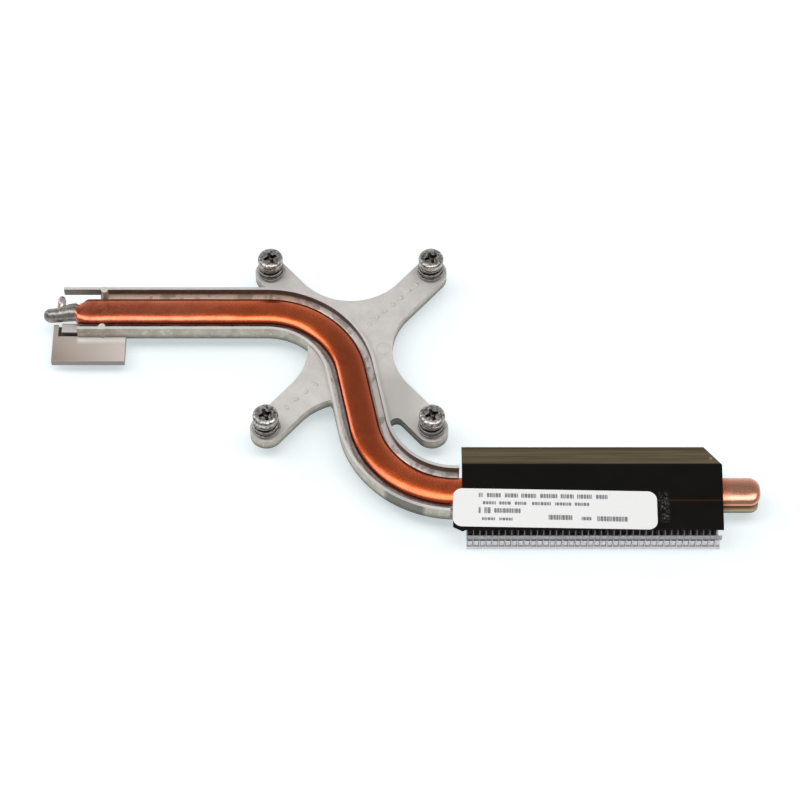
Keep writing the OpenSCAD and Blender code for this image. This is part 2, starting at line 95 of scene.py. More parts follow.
def sky_ramp(tree, stops):
    """Grey levels by how high a direction points, 0 to 1."""
    ramp = tree.nodes.new("ShaderNodeValToRGB")
    line = ramp.color_ramp.elements
    for end, (place, level) in zip((0, 1), (stops[0], stops[-1])):
        line[end].position, line[end].color = place, (level, level, level, 1)
    for place, level in stops[1:-1]:
        line.new(place).color = (level, level, level, 1)
    return ramp


def add_studio():
    """Soft boxes overhead and behind on the left, in a room dim in front and pale behind."""
    over = (-0.05, -0.03)
    add_light("top_box", at=(*over, 0.6), aim=(*over, 0), size=(0.96, 0.28), watts=2.4)
    add_light("left_box", at=(-0.62, 0.29, 0.46), aim=(0, 0, 0), size=(0.14, 0.4), watts=0.6)
    world = bpy.data.worlds.new("studio")
    world.use_nodes = True
    bpy.context.scene.world = world
    tree = world.node_tree
    where = tree.nodes.new("ShaderNodeTexCoord")
    split = tree.nodes.new("ShaderNodeSeparateXYZ")
    tree.links.new(where.outputs["Generated"], split.inputs[0])
    front, back = sky_ramp(tree, FRONT_SKY), sky_ramp(tree, BACK_SKY)
    for ramp in (front, back):
        tree.links.new(split.outputs["Z"], ramp.inputs[0])
    turn = tree.nodes.new("ShaderNodeMapRange")
    turn.inputs["From Min"].default_value, turn.inputs["From Max"].default_value = SKY_TURN
    tree.links.new(split.outputs["Y"], turn.inputs["Value"])
    both = tree.nodes.new("ShaderNodeMix")
    both.data_type = "RGBA"
    tree.links.new(turn.outputs[0], both.inputs[MIX_SHARE])
    tree.links.new(front.outputs[0], both.inputs[MIX_A])
    tree.links.new(back.outputs[0], both.inputs[MIX_B])
    tree.links.new(both.outputs[MIX_OUT], tree.nodes["Background"].inputs[0])


# ---------------------------------------------------------------- materials

class Material:
    """A small helper that builds a node material round one shader.

    Places and lengths inside a material are in metres, in the part's own frame.
    """

    def __init__(self, name, **sockets):
        self.mat = bpy.data.materials.new(name)
        self.mat.use_nodes = True
        self.tree = self.mat.node_tree
        self.shader = self.tree.nodes["Principled BSDF"]
        for key, value in sockets.items():
            self.shader.inputs[key.replace("_", " ")].default_value = value
        self.coords = self.node("ShaderNodeTexCoord").outputs["Object"]

    def node(self, kind, values=None, **settings):
        made = self.tree.nodes.new(kind)
        for key, value in settings.items():
            setattr(made, key, value)
        for key, value in (values or {}).items():
            self.feed(made.inputs[key], value)
        return made

    def feed(self, socket, value):
        if isinstance(value, bpy.types.NodeSocket):
            self.tree.links.new(value, socket)
        else:
            socket.default_value = value

    def stretched(self, x, y, z):
        """The place in the part, scaled along each axis."""
        values = {"Vector": self.coords, "Scale": (x, y, z)}
        return self.node("ShaderNodeMapping", values).outputs[0]

    def noise(self, scale, detail=3, rough=0.5, vector=None, distort=0):
        """A soft noise from 0 to 1, mostly between 0.3 and 0.7."""
        return self.node("ShaderNodeTexNoise", {
            "Vector": self.coords if vector is None else vector, "Scale": scale,
            "Detail": detail, "Roughness": rough, "Distortion": distort,
        }).outputs["Fac"]

    def math(self, operation, a, b=0.0):
        return self.node("ShaderNodeMath", {0: a, 1: b}, operation=operation).outputs[0]

    def times(self, a, b):
        return self.math("MULTIPLY", a, b)

    def span(self, value, low, high, to_low=0.0, to_high=1.0, smooth=False):
        """A value's range from low to high made into another range, and held beyond its ends."""
        kind = "SMOOTHSTEP" if smooth else "LINEAR"
        return self.node("ShaderNodeMapRange", {
            "Value": value, "From Min": low, "From Max": high, "To Min": to_low, "To Max": to_high,
        }, interpolation_type=kind).outputs[0]

    def axis(self, name):
        return self.node("ShaderNodeSeparateXYZ", {0: self.coords}).outputs[name]

    def facing(self, name):
        """How much the surface faces along an axis of the part."""
        normal = self.node("ShaderNodeTexCoord").outputs["Normal"]
        return self.node("ShaderNodeSeparateXYZ", {0: normal}).outputs[name]

    def edges(self, radius):
        """1 on sharp edges, 0 on open faces."""
        plain = self.node("ShaderNodeNewGeometry").outputs["Normal"]
        soft = self.node("ShaderNodeBevel", {"Radius": radius}, samples=4).outputs[0]
        same = self.node("ShaderNodeVectorMath", {0: plain, 1: soft}, operation="DOT_PRODUCT")
        return self.span(same.outputs["Value"], 0.985, 0.86, 0, 0.8)

    def ring(self, x, y, radius, width):
        """1 on a ring round a point of the part, in millimetres, seen from above."""
        flat = self.node("ShaderNodeCombineXYZ", {0: self.axis("X"), 1: self.axis("Y")}).outputs[0]
        ends = {0: flat, 1: (x * MM, y * MM, 0)}
        apart = self.node("ShaderNodeVectorMath", ends, operation="DISTANCE")
        off = self.math("ABSOLUTE", self.math("SUBTRACT", apart.outputs["Value"], radius * MM))
        return self.span(off, 0, width * MM, 1, 0)

    def mix(self, share, a, b):
        made = self.node("ShaderNodeMix", data_type="RGBA")
        self.feed(made.inputs[MIX_SHARE], share)
        self.feed(made.inputs[MIX_A], a)
        self.feed(made.inputs[MIX_B], b)
        return made.outputs[MIX_OUT]

    def blend(self, value, a, b):
        """Two colours, mottled by a noise."""
        return self.mix(self.span(value, 0.3, 0.7), a, b)

    def over(self, base, *layers):
        """A colour with others laid over it in turn, each by its (mask, colour)."""
        for mask, top in layers:
            base = self.mix(mask, base, top)
        return base

    def colour(self, value):
        self.feed(self.shader.inputs["Base Color"], value)

    def rough(self, value):
        self.feed(self.shader.inputs["Roughness"], value)

    def bump(self, *layers, edge=0.0):
        """Layers of (height, strength, distance), over edges rounded by a radius."""
        normal = None
        if edge:
            normal = self.node("ShaderNodeBevel", {"Radius": edge}, samples=4).outputs[0]
        for height, strength, distance in layers:
            values = {"Height": height, "Strength": strength, "Distance": distance}
            if normal is not None:
                values["Normal"] = normal
            normal = self.node("ShaderNodeBump", values).outputs[0]
        self.feed(self.shader.inputs["Normal"], normal)


def rgb(r, g, b):
    """A colour given as it looks on the screen, 0 to 255."""
    def line(v):
        v /= 255
        return v / 12.92 if v <= 0.04045 else ((v + 0.055) / 1.055) ** 2.4
    return (line(r), line(g), line(b), 1)


def cast_alloy():
    """Cast grey alloy: tops paler, sides greener, scuffed and painted darker as shade, with
    painted shadow at the feet.
    """
    m = Material("cast_alloy", Metallic=0.4, Roughness=0.5)
    x, y, z = m.axis("X"), m.axis("Y"), m.axis("Z")
    cloud = m.noise(350, 4, 0.6)
    grain = m.noise(5200, 2, 0.6)
    # painted shade: faces that turn away from straight up take the darker side colour
    upright = m.span(m.facing("Z"), 0.9, 0.3)

    tongue = m.span(x, 0.088, 0.0915)
    plate = m.times(m.span(z, 0.0050, 0.0048), m.span(x, -0.0565, -0.0570))
    # painted light across the side plate: darker at the left and front, paler at the right and
    # rear
    plate_light_slant = m.span(m.math("ADD", x, y), -0.076, -0.056)
    plate_colour = m.mix(plate_light_slant, rgb(164, 149, 137), rgb(230, 220, 213))
    # a painted highlight along the side plate's upper strip beside the channel wall
    plate_highlight = m.times(m.span(y, 0.0031, 0.0042), m.span(x, -0.0700, -0.0690))
    # painted shade on the lower arm beside the channel wall
    low_arm_shade = m.times(m.span(y, -0.004, -0.010), m.span(x, 0.004, 0.010))
    pin = m.ring(8.4, 0.0, 1.7, 0.22)
    face = m.over(
        m.blend(cloud, rgb(212, 208, 204), rgb(228, 224, 220)),
        (tongue, rgb(194, 172, 132)),
        (plate, plate_colour),
        (m.times(plate_highlight, plate), rgb(252, 248, 244)),
        (m.times(low_arm_shade, m.span(x, 0.020, 0.014)), rgb(198, 195, 191)),
        (m.times(pin, 0.35), rgb(160, 157, 153)),
    )

    scuff = m.span(m.noise(620, 3, 0.6), 0.56, 0.64, 0, 0.7)
    rail = m.times(m.span(y, 0.0160, 0.0165), m.span(x, -0.0640, -0.0644, 0, 0.8))
    # painted shadow darkening the lower part of the sides
    feet = m.span(z, 0.0046, 0.0062, 0.8, 0)
    # painted shade on the arm's side faces inside the slot
    slot = m.times(m.span(y, -0.0150, -0.0160), m.span(x, 0.0190, 0.0180))
    slot = m.times(slot, m.span(x, 0.0085, 0.0095, 0, 0.7))
    # the side colour is painted shade, darker than the tops
    side = m.over(
        m.blend(cloud, rgb(172, 163, 148), rgb(202, 194, 182)),
        (scuff, rgb(216, 216, 212)),
        (rail, rgb(120, 112, 106)),
        (feet, rgb(84, 83, 76)),
        # on the side plate this painted shade is a lighter grey
        (plate, rgb(144, 135, 132)),
        (slot, rgb(58, 56, 52)),
    )
    m.colour(m.mix(m.edges(0.00025), m.mix(upright, face, side), rgb(246, 243, 240)))
    m.rough(m.span(grain, 0.25, 0.75, 0.42, 0.6))
    m.bump((grain, 0.35, 0.00003), (cloud, 0.2, 0.00008), (pin, -1.0, 0.00012), edge=0.0003)
    return m.mat


def trough():
    """The inside of the channel's walls: a painted dark reflection of the copper pipe above, and a
    painted bright reflection at the foot.
    """
    m = Material("trough", Metallic=0.1, Roughness=0.3)
    cloud = m.noise(900, 4, 0.6)
    # patches that break the painted bright reflection at the foot, where it shows the copper
    # instead
    reflection_breaks = m.span(m.noise(190, 4, 0.65), 0.52, 0.58)
    # painted light: the foot is brighter on the right, where the walls shade it less
    less_shaded_right = m.span(m.axis("X"), -0.014, -0.004)
    # the foot's pale pinkish colour is a painted bright reflection
    foot = m.over(
        m.blend(cloud, rgb(246, 206, 184), rgb(250, 228, 212)),
        (less_shaded_right, rgb(255, 250, 247)),
        (m.times(reflection_breaks, 0.5), rgb(138, 116, 92)),
    )
    # a painted reflection of the copper pipe, dark brown, on the walls above the foot
    copper_reflection = m.blend(cloud, rgb(86, 64, 56), rgb(112, 90, 80))
    m.colour(m.mix(m.span(m.axis("Z"), 0.0062, 0.0068), foot, copper_reflection))
    m.bump((cloud, 0.4, 0.0001))
    return m.mat


def copper():
    """Drawn copper: tinned at the sealed tip, with stains beside it, dull at the far end; painted
    shade on its lower sides, its leg between the bends and the tip's nose.
    """
    m = Material("copper", Metallic=1.0, Roughness=0.28,
                 Coat_Weight=0.5, Coat_Roughness=0.14, Coat_IOR=1.8)
    x = m.axis("X")
    cloud = m.noise(240, 5, 0.62, distort=0.8)
    fine = m.noise(6000, 2, 0.5)
    mottle = m.span(cloud, 0.35, 0.7)

    left_run = m.mix(mottle, rgb(232, 122, 80), rgb(208, 96, 58))
    right_run = m.mix(mottle, rgb(238, 110, 50), rgb(214, 88, 34))
    # painted shade: the leg between the bends is painted darker
    leg_shade = m.times(m.span(x, -0.012, 0.001, smooth=True), m.span(x, 0.014, 0.004, smooth=True))
    stain = m.span(m.noise(420, 5, 0.65, distort=1.2), 0.44, 0.6)
    near_tip = m.span(m.math("ADD", x, m.times(cloud, 0.01)), -0.058, -0.044, 1, 0)
    # painted shade on the pipe's lower sides, below its shoulders
    shoulder = m.span(m.axis("Z"), 0.0078, 0.0070, 0, 0.85)
    far_end = m.span(x, 0.0905, 0.0935)
    bare = m.over(
        m.mix(m.span(x, -0.046, -0.026), left_run, right_run),
        (m.times(leg_shade, 0.5), rgb(152, 62, 20)),
        (m.times(near_tip, m.times(stain, 0.55)), rgb(150, 52, 34)),
        (shoulder, rgb(70, 16, 2)),
        (m.times(far_end, 0.9), rgb(220, 160, 134)),
    )

    tin = m.span(m.math("ADD", x, m.times(m.noise(900, 3), 0.0016)), -0.0697, -0.0689, 1, 0)
    # painted shade on the rounded nose of the tinned tip
    nose = m.span(x, -0.0776, -0.0768, 0.7, 0)
    grey_mottle = m.span(m.noise(1500, 4, 0.6), 0.35, 0.65)
    grey = m.mix(grey_mottle, rgb(164, 158, 154), rgb(116, 110, 106))
    m.colour(m.mix(tin, bare, m.mix(nose, grey, rgb(92, 90, 88))))
    m.rough(m.math("ADD", m.span(fine, 0.3, 0.7, 0.24, 0.29), m.times(tin, 0.12)))
    m.bump((fine, 0.05, 0.00001), (cloud, 0.15, 0.0001))
    return m.mat


def milled_copper():
    """Milled copper with fine marks along X, for the face that meets the processor."""
    m = Material("milled_copper", Metallic=1.0, Roughness=0.26)
    marks = m.noise(1, 2, 0.5, vector=m.stretched(400, 9000, 400))
    cloud = m.noise(300, 4, 0.6)
    m.colour(m.blend(cloud, rgb(222, 150, 112), rgb(206, 128, 90)))
    m.rough(m.span(marks, 0.3, 0.7, 0.2, 0.34))
    m.bump((marks, 0.3, 0.00002), edge=0.0002)
    return m.mat


def solder():
    """Dull bright solder, slightly lumpy."""
    m = Material("solder", Metallic=0.9, Roughness=0.3)
    cloud = m.noise(1300, 4, 0.6)
    m.colour(m.blend(cloud, rgb(214, 202, 198), rgb(186, 172, 168)))
    m.rough(m.span(cloud, 0.3, 0.7, 0.22, 0.42))
    m.bump((cloud, 0.5, 0.00012))
    return m.mat


def black_film():
    """Satin black film, with a painted brown sheen on its rear slope and a painted highlight on
    the ridge where it lies over the pipe.
    """
    m = Material("black_film", Roughness=0.5, Specular_IOR_Level=0.08)
    x, y = m.axis("X"), m.axis("Y")
    grain = m.noise(4200, 3, 0.6)
    cloud = m.noise(170, 4, 0.6)
    # a painted highlight along the ridge where the film lies over the pipe's front shoulder; the
    # same mask also raises the ridge in the bump
    off_line = m.math("ABSOLUTE", m.math("SUBTRACT", y, -0.0447))
    line = m.span(off_line, 0.0, 0.0003, 0.5, 0)
    black = m.mix(line, m.blend(cloud, rgb(9, 8, 5), rgb(15, 13, 9)), rgb(84, 48, 36))

    # a painted brown sheen on the rear slope, streaked along X and darker at its rear edge
    slope = m.span(y, -0.0345, -0.0341)
    rear_edge = m.span(y, -0.0302, -0.0292, 0, 0.6)
    streak = m.span(m.noise(1, 3, 0.6, vector=m.stretched(40, 1600, 40)), 0.35, 0.65)
    sheen = m.mix(streak, rgb(82, 73, 54), rgb(104, 94, 73))
    sheen = m.mix(rear_edge, sheen, rgb(58, 46, 34))

    # a patch of scuffs beside the label, and a pale spot at the cut corner
    scuff = m.times(m.span(m.noise(1800, 3, 0.7), 0.5, 0.62), m.span(x, 0.0755, 0.0765, 0, 0.4))
    for value, low, high in ((x, 0.0785, 0.0775), (y, -0.0510, -0.0500), (y, -0.0420, -0.0430)):
        scuff = m.times(scuff, m.span(value, low, high))
    pale = m.math("MAXIMUM", scuff, m.ring(89.2, -32.6, 0, 0.6))
    m.colour(m.over(black, (slope, sheen), (pale, rgb(150, 146, 138))))
    m.rough(m.span(grain, 0.3, 0.7, 0.42, 0.58))
    m.bump((grain, 0.25, 0.00003), (cloud, 0.3, 0.0002), (line, 0.3, 0.00006))
    return m.mat


def paper():
    """White label paper."""
    m = Material("label_paper", Roughness=0.75)
    fibre = m.noise(2600, 4, 0.7)
    m.colour(m.blend(fibre, rgb(248, 248, 248), rgb(254, 254, 254)))
    m.bump((fibre, 0.2, 0.00003))
    return m.mat


def ink():
    """Uneven grey print."""
    m = Material("label_ink", Roughness=0.6)
    fleck = m.noise(3200, 3, 0.7)
    m.colour(m.mix(m.span(fleck, 0.35, 0.65), rgb(98, 98, 106), rgb(160, 160, 166)))
    m.bump((fleck, 0.2, 0.00002))
    return m.mat


def steel(name, low, high, rough):
    """Plain steel with lighter edges."""
    m = Material(name, Metallic=1.0, Roughness=rough)
    cloud = m.noise(900, 4, 0.6)
    grain = m.noise(7000, 2, 0.5)
    m.colour(m.mix(m.edges(0.00012), m.blend(cloud, low, high), rgb(214, 211, 207)))
    m.rough(m.span(grain, 0.3, 0.7, rough - 0.06, rough + 0.08))
    m.bump((grain, 0.2, 0.00002), edge=0.0001)
    return m.mat


def screw_steel():
    """Blotchy plated steel, with painted shade inside the cross recess."""
    m = Material("screw_steel", Metallic=1.0, Roughness=0.28)
    blotch = m.noise(1500, 3, 0.6, distort=0.6)
    grain = m.noise(7000, 2, 0.5)
    body = m.mix(m.span(blotch, 0.4, 0.6), rgb(104, 99, 95), rgb(206, 201, 196))
    body = m.mix(m.edges(0.00015), body, rgb(232, 229, 225))
    dx = m.math("SUBTRACT", m.math("ABSOLUTE", m.axis("X")), SCREW_X * MM)
    dy = m.math("SUBTRACT", m.math("ABSOLUTE", m.axis("Y")), SCREW_Y * MM)
    off_axis = m.math("SQRT", m.math("ADD", m.times(dx, dx), m.times(dy, dy)))
    # painted shade inside the cross recess
    recess_shade = m.times(m.span(off_axis, 0.0024, 0.0022), m.span(m.axis("Z"), 0.01392, 0.0136))
    m.colour(m.mix(recess_shade, body, rgb(76, 72, 68)))
    m.rough(m.span(grain, 0.3, 0.7, 0.24, 0.36))
    m.bump((blotch, 0.35, 0.00008), (grain, 0.2, 0.00002), edge=0.0001)
    return m.mat


def wire():
    """Grey drawn wire."""
    m = Material("spring_wire", Metallic=1.0, Roughness=0.3)
    cloud = m.noise(1400, 3, 0.6)
    m.colour(m.blend(cloud, rgb(112, 108, 104), rgb(176, 171, 166)))
    m.rough(m.span(cloud, 0.3, 0.7, 0.24, 0.38))
    m.bump((cloud, 0.15, 0.00003))
    return m.mat


def fin_sheet():
    """Bright rolled sheet, coloured by height: painted shade in the openings above, bright tabs
    with painted shade between them, a band of painted shade under them, and painted light on the
    pale grey below.
    """
    m = Material("fin_sheet", Metallic=0.2, Roughness=0.38)
    z = m.axis("Z")
    rolled = m.noise(1, 3, 0.6, vector=m.stretched(9000, 300, 9000))
    cloud = m.noise(1100, 4, 0.65)
    # painted light: the pale grey low in the openings
    low = m.blend(cloud, rgb(212, 209, 211), rgb(240, 238, 240))
    # painted shade: the grey for the openings under the film
    dull = m.blend(cloud, rgb(122, 120, 122), rgb(156, 154, 156))
    tab = m.mix(m.span(cloud, 0.35, 0.65), rgb(134, 131, 131), rgb(190, 188, 188))
    # painted shade in the gaps between the tabs
    from_first = m.math("SUBTRACT", m.axis("X"), FIN_START * MM)
    turn = m.math("FRACT", m.math("DIVIDE", from_first, FIN_PITCH * MM))
    tab = m.mix(m.span(turn, 0.2, 0.26, 0.55, 0), tab, dull)

    # a band of painted shade under the tabs
    shade_under_tabs = m.span(z, 0.0052, 0.0055, 1, 0)
    lowest = m.span(z, 0.0046, 0.0048, 1, 0)
    openings = m.span(z, 0.0066, 0.0067)
    m.colour(m.over(tab, (shade_under_tabs, rgb(122, 119, 120)), (lowest, low), (openings, dull)))
    m.rough(m.span(rolled, 0.3, 0.7, 0.3, 0.46))
    m.bump((rolled, 0.15, 0.00001))
    return m.mat


def groove_shade():
    """The dark inside of the groove beside the side plate."""
    m = Material("groove_shade", Roughness=0.7)
    m.colour(m.blend(m.noise(900, 3), rgb(84, 76, 62), rgb(110, 100, 84)))
    return m.mat


def floor_white():
    """A pale floor, lit a little from within so that it stays near white."""
    m = Material("floor_white", Roughness=0.9, Emission_Strength=0.45)
    m.colour(m.blend(m.noise(60, 3), (0.73, 0.75, 0.76, 1), (0.75, 0.77, 0.78, 1)))
    m.feed(m.shader.inputs["Emission Color"], (0.86, 0.97, 1.0, 1))
    return m.mat


# ---------------------------------------------------------------- building helpers

def new_object(name, verts, faces, mat, smooth=True):
    """A mesh object from points in metres and faces of point numbers."""
    mesh = bpy.data.meshes.new(name)
    mesh.from_pydata([tuple(v) for v in verts], [], faces)
    mesh.update()
    if smooth:
        mesh.polygons.foreach_set("use_smooth", [True] * len(mesh.polygons))
    made = bpy.data.objects.new(name, mesh)
    bpy.context.collection.objects.link(made)
    if mat:
        mesh.materials.append(mat)
    return made


def tube(name, rings, mat):
    """A closed skin through rings of points in metres."""
    sides = len(rings[0])
    verts = [p for ring in rings for p in ring]
    faces = []
    for i in range(len(rings) - 1):
        for k in range(sides):
            n = (k + 1) % sides
            a, b = i * sides, (i + 1) * sides
            faces.append((a + k, a + n, b + n, b + k))
    faces.append(tuple(range(sides - 1, -1, -1)))
    faces.append(tuple((len(rings) - 1) * sides + k for k in range(sides)))
    return new_object(name, verts, faces, mat)


def wear(node, mat):
    """Gives a CAD node its material."""
    mesh = NODES[node].data
    mesh.materials.clear()
    mesh.materials.append(mat)


def mark_sharp(obj, degrees):
    """Smooth shading, with the edges that turn by more than an angle kept sharp."""
    work = bmesh.new()
    work.from_mesh(obj.data)
    for face in work.faces:
        face.smooth = True
    for edge in work.edges:
        if len(edge.link_faces) == 2:
            edge.smooth = edge.calc_face_angle() < math.radians(degrees)
    work.to_mesh(obj.data)
    work.free()


def carve(obj, cutter):
    """Takes the cutter's shape out of a mesh and removes the cutter."""
    change = obj.modifiers.new("carve", "BOOLEAN")
    change.operation = "DIFFERENCE"
    change.solver = "EXACT"
    change.use_self = True
    change.object = cutter
    shown = obj.evaluated_get(bpy.context.evaluated_depsgraph_get())
    mesh = bpy.data.meshes.new_from_object(shown)
    obj.modifiers.clear()
    obj.data = mesh
    bpy.data.objects.remove(cutter)


def settle(obj, slot, *nodes, body=HOME):
    """The piece rides on a body and may stand for CAD nodes, which are hidden. Its slot is not
    used.
    """
    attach(obj, body)
    if nodes:
        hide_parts(*nodes)


def blend_keys(keys, d):
    """Eased values between keys of (distance, values)."""
    if d <= keys[0][0]:
        return keys[0][1]
    for (d0, a), (d1, b) in zip(keys, keys[1:]):
        if d <= d1:
            t = (d - d0) / (d1 - d0)
            t = t * t * (3 - 2 * t)
            return tuple(p + (q - p) * t for p, q in zip(a, b))
    return keys[-1][1]


# ---------------------------------------------------------------- the pipe's route, in millimetres

TURN = math.radians(78.5)
R1, R2 = 22.0, 23.2  # radii of the two bends
START = (-21.3, 11.5)  # where the first bend begins
STEP = 52.9  # from the left run to the right run, across them
LEG = (STEP - (R1 + R2) * (1 - math.cos(TURN))) / math.sin(TURN)
ARC1, ARC2 = R1 * TURN, R2 * TURN
LENGTH = ARC1 + LEG + ARC2
LEG_AT = (START[0] + R1 * math.sin(TURN), START[1] + R1 * (math.cos(TURN) - 1))
RIGHT_AT = (
    LEG_AT[0] + LEG * math.cos(TURN) + R2 * math.sin(TURN),
    LEG_AT[1] - LEG * math.sin(TURN) + R2 * (math.cos(TURN) - 1),
)
PIPE_W, PIPE_H, PIPE_Z = 7.7, 3.0, 6.7
PIPE_END = 100.8
FLOOR_Z = 5.2  # top of the channel's floor
WALL_TOP = 8.5


def route(d):
    """Where the pipe's middle line is after a distance, and its heading there."""
    if d < 0:
        return START[0] + d, START[1], 0.0
    if d < ARC1:
        a = d / R1
        return START[0] + R1 * math.sin(a), START[1] + R1 * (math.cos(a) - 1), -a
    if d < ARC1 + LEG:
        t = d - ARC1
        return LEG_AT[0] + t * math.cos(TURN), LEG_AT[1] - t * math.sin(TURN), -TURN
    if d < LENGTH:
        a = (LENGTH - d) / R2
        return RIGHT_AT[0] - R2 * math.sin(a), RIGHT_AT[1] + R2 * (1 - math.cos(a)), -a
    return RIGHT_AT[0] + d - LENGTH, RIGHT_AT[1], 0.0


def left_d(x):
    """How far along the route a place on the left run is."""
    return x - START[0]


def right_d(x):
    """How far along the route a place on the right run is."""
    return LENGTH + x - RIGHT_AT[0]


def across(d, section):
    """A section of (left of the middle line, height) points, set across the route."""
    x, y, heading = route(d)
    side = (-math.sin(heading), math.cos(heading))
    return [Vector((x + q * side[0], y + q * side[1], z)) * MM for q, z in section]


def steps(start, end, step):
    """Even distances from start to end, about a step apart."""
    count = max(2, round((end - start) / step))
    return [start + (end - start) * i / count for i in range(count + 1)]


# ---------------------------------------------------------------- pieces

SPOTS = [(-SCREW_X, SCREW_Y), (SCREW_X, SCREW_Y), (-SCREW_X, -SCREW_Y), (SCREW_X, -SCREW_Y)]
ARM_TOP = 7.4

NOSE_FROM, NOSE = -55.25, 1.85  # where the round nose begins, and its length
FLAT_FROM = -45.7  # the full flat section begins here
END_ROUND = 2.8
SQUARE = 2.25  # 2 is an ellipse, more is squarer
DISH = 0.045  # how far the flat faces sink in, as a share of their height


def pipe_outline(d, end):
    """Width, thickness, offset to the left, height and squareness of the pipe at a distance."""
    flat = (PIPE_W, PIPE_H, 0.0, PIPE_Z, SQUARE)
    keys = [
        (NOSE_FROM, (3.7, 3.7, -0.9, 6.45, 2.0)),
        (-48.9, (4.9, 4.1, -0.1, 6.85, 2.0)),
        (-48.1, (5.7, 3.5, -0.98, 6.95, 2.2)),
        (FLAT_FROM, flat),
        (end, flat),
    ]
    w, h, q, z, n = blend_keys(keys, d)
    if d < NOSE_FROM:
        ball = math.sqrt(max(0.0, 1 - ((NOSE_FROM - d) / NOSE) ** 2))
        w, h = w * ball, h * ball
    if d > end - END_ROUND:
        t = 1 - math.sqrt(max(0.0, 1 - ((d - end + END_ROUND) / END_ROUND) ** 2))
        w, h = w - 2 * END_ROUND * t, h * (1 - 0.45 * t ** 1.5)
    return w, h, q, z, n


def build_pipe(mat):
    """The flattened pipe: a soft section with full shoulders, drawn down to a nose on the left."""
    sides = 48
    end = right_d(PIPE_END)
    places = [NOSE_FROM - NOSE * math.cos(math.radians(a)) for a in range(8, 90, 9)]
    places += steps(-55.2, -45.4, 0.35) + steps(-44.8, end - END_ROUND, 0.8)
    places += [end - END_ROUND * (1 - math.sin(math.radians(a))) for a in range(6, 88, 6)]
    rings = []
    for d in places:
        w, h, q, z, n = pipe_outline(d, end)
        ring = []
        for k in range(sides):
            a = 2 * math.pi * (k + 0.5) / sides
            c, s = math.cos(a), math.sin(a)
            x = w / 2 * math.copysign(abs(c) ** (2 / n), c)
            y = h / 2 * math.copysign(abs(s) ** (2 / n), s)
            # a pressed pipe is slightly uneven
            wave = 0.028 * noise.noise(Vector((d / 5, x / 3, 1.3)))
            wave += 0.012 * noise.noise(Vector((d / 1.6, x, 7.7)))
            dish = DISH * max(0.0, math.cos(math.pi * x / w)) if n > SQUARE - 0.01 else 0.0
            ring.append((q + x, z + y * (1 - wave - dish)))
        rings.append(across(d, ring))
    pipe = tube("copper_pipe", rings, mat)
    mark_sharp(pipe, 60)
    settle(pipe, "copper_pipe", "heat_pipe")


LINING_IN, LINING_OUT = 5.63, 5.75  # the lining's face and its buried side
LINING_LOW, LINING_FOOT = 5.1, 5.18  # its buried foot, and where its round meets the floor


def lining_section(toe, r):
    """Half a lining's outline: foot, buried side, top, face, and a round at the foot."""
    outline = [
        (toe, LINING_LOW), (LINING_OUT, LINING_LOW), (LINING_OUT, WALL_TOP), (LINING_IN, WALL_TOP),
    ]
    for a in (math.radians(t) for t in range(0, 91, 15)):
        outline.append((LINING_IN - r + r * math.cos(a), LINING_FOOT + r - r * math.sin(a)))
    return outline


def build_linings(mat):
    """Thin linings of the channel's walls, with rounds at their feet."""
    rear = lining_section(4.1, 1.5)
    front = [(-q, z) for q, z in reversed(lining_section(4.6, 1.0))]
    spans = (
        ("rear", rear, left_d(-64.3), right_d(27.1)),
        ("front", front, left_d(-69.4), right_d(25.1)),
    )
    for name, section, start, end in spans:
        rings = [across(d, section[::-1]) for d in steps(start, end, 0.8)]
        lining = tube("wall_lining_" + name, rings, mat)
        mark_sharp(lining, 40)
        settle(lining, "cast_carrier")


def build_solder(mat):
    """The wavy seams of solder along both sides of the pipe, from its flanks down to the floor."""
    for name, sign in (("rear", 1), ("front", -1)):
        rings = []
        for d in steps(-42.5, right_d(26.9), 0.5):
            swell = 0.75 + 0.55 * noise.noise(Vector((d / 3.1, sign * 4.0, 0.3)))
            swell += 0.25 * noise.noise(Vector((d / 0.9, sign * 9.0, 2.3)))
            swell = max(0.25, min(1.3, swell))
            foot, height = 3.9 + 0.75 * swell, FLOOR_Z + 0.95 * swell
            section = [(3.3, 5.15), (foot + 0.05, 5.15), (foot, 5.21)]
            section += [
                (foot + (3.72 - foot) * t, FLOOR_Z + (height - FLOOR_Z) * t * t)
                for t in (0.2, 0.4, 0.6, 0.8, 1.0)
            ]
            section.append((3.3, height - 0.1))
            section = [(sign * q, z) for q, z in section]
            if sign < 0:
                section.reverse()
            rings.append(across(d, section))
        seam = tube("solder_seam_" + name, rings, mat)
        mark_sharp(seam, 50)
        settle(seam, "cast_carrier")


DROP_AT, DROP_SIZE = (-74.0, 14.2, 7.0), (1.1, 2.1, 1.05)  # middle and half sizes


def build_blob(mat):
    """A drop of solder behind the sealed tip."""
    work = bmesh.new()
    bmesh.ops.create_icosphere(work, subdivisions=4, radius=1.0)
    for v in work.verts:
        n = v.co.normalized()
        r = 1 + 0.16 * noise.noise(n * 1.7 + Vector((3, 1, 4)))
        place = [at + half * r * part for at, half, part in zip(DROP_AT, DROP_SIZE, n)]
        v.co = Vector(place) * MM
    mesh = bpy.data.meshes.new("solder_drop")
    work.to_mesh(mesh)
    work.free()
    mesh.polygons.foreach_set("use_smooth", [True] * len(mesh.polygons))
    mesh.materials.append(mat)
    blob = bpy.data.objects.new("solder_drop", mesh)
    bpy.context.collection.objects.link(blob)
    settle(blob, "cast_carrier")


